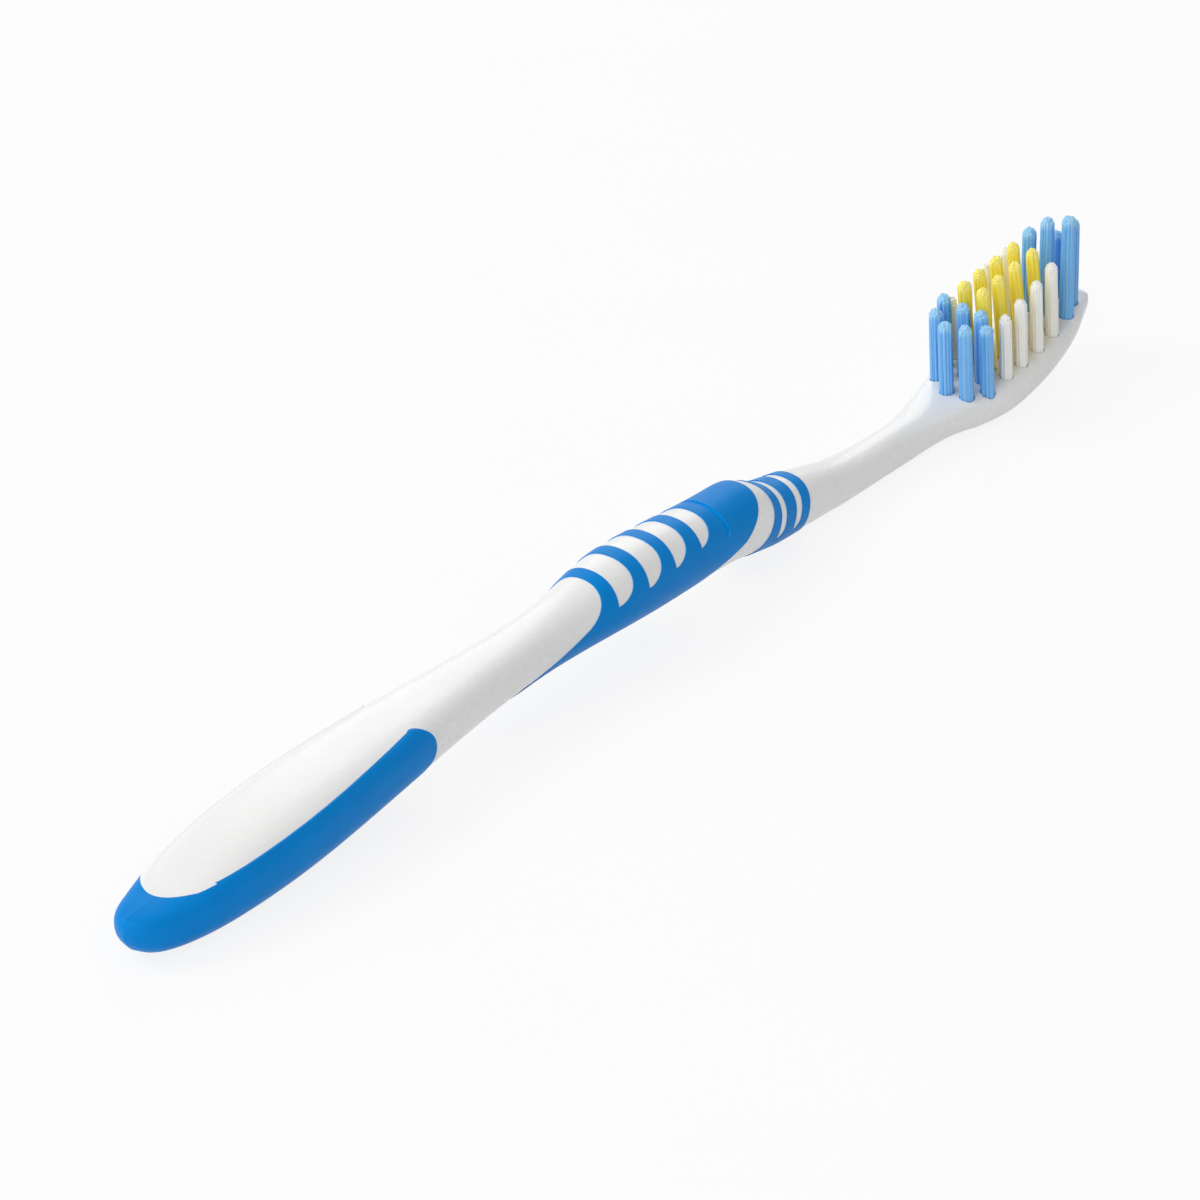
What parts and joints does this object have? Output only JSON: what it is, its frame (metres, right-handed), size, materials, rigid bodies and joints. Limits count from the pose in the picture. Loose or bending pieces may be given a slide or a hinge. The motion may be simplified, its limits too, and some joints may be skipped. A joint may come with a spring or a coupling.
{
  "type": "manual toothbrush",
  "caption": "Manual toothbrush with a white curved handle, blue soft grips with ribs and a thumb pad, a banded neck, and an oval head of blue, white and yellow bristle tufts.",
  "frame": {"origin": "middle of the brush's length and width, on the plane of the flats that it rests on", "axes": "+X from the tail to the toe of the head, +Z the way the bristles point, +Y across the brush"},
  "size_m": [0.1932, 0.0134, 0.023],
  "materials": {
    "white_plastic": "glossy white polypropylene",
    "blue_soft_plastic": "satin blue soft plastic",
    "blue_nylon": "blue bristle filaments",
    "white_nylon": "white bristle filaments",
    "yellow_nylon": "yellow bristle filaments",
    "anchor_brass": "cut wire plate"
  },
  "bodies": {
    "root": {"handle_core": "white_plastic", "tail_grip": "blue_soft_plastic", "thumb_grip": "blue_soft_plastic", "neck_bands": "blue_soft_plastic", "heel_tuft_1": "blue_nylon", "heel_tuft_2": "blue_nylon", "heel_tuft_3": "blue_nylon", "heel_tuft_4": "blue_nylon", "heel_tuft_5": "blue_nylon", "heel_tuft_6": "blue_nylon", "heel_tuft_7": "blue_nylon", "outer_tuft_1": "white_nylon", "outer_tuft_2": "white_nylon", "outer_tuft_3": "white_nylon", "outer_tuft_4": "white_nylon", "outer_tuft_5": "white_nylon", "outer_tuft_6": "white_nylon", "outer_tuft_7": "white_nylon", "outer_tuft_8": "white_nylon", "inner_tuft_1": "yellow_nylon", "inner_tuft_2": "yellow_nylon", "inner_tuft_3": "yellow_nylon", "inner_tuft_4": "yellow_nylon", "inner_tuft_5": "yellow_nylon", "inner_tuft_6": "yellow_nylon", "inner_tuft_7": "yellow_nylon", "inner_tuft_8": "yellow_nylon", "toe_tuft_1": "blue_nylon", "toe_tuft_2": "blue_nylon", "toe_tuft_3": "blue_nylon", "toe_tuft_4": "blue_nylon", "toe_tuft_5": "blue_nylon", "tuft_anchors": "anchor_brass"}
  },
  "joints": []
}
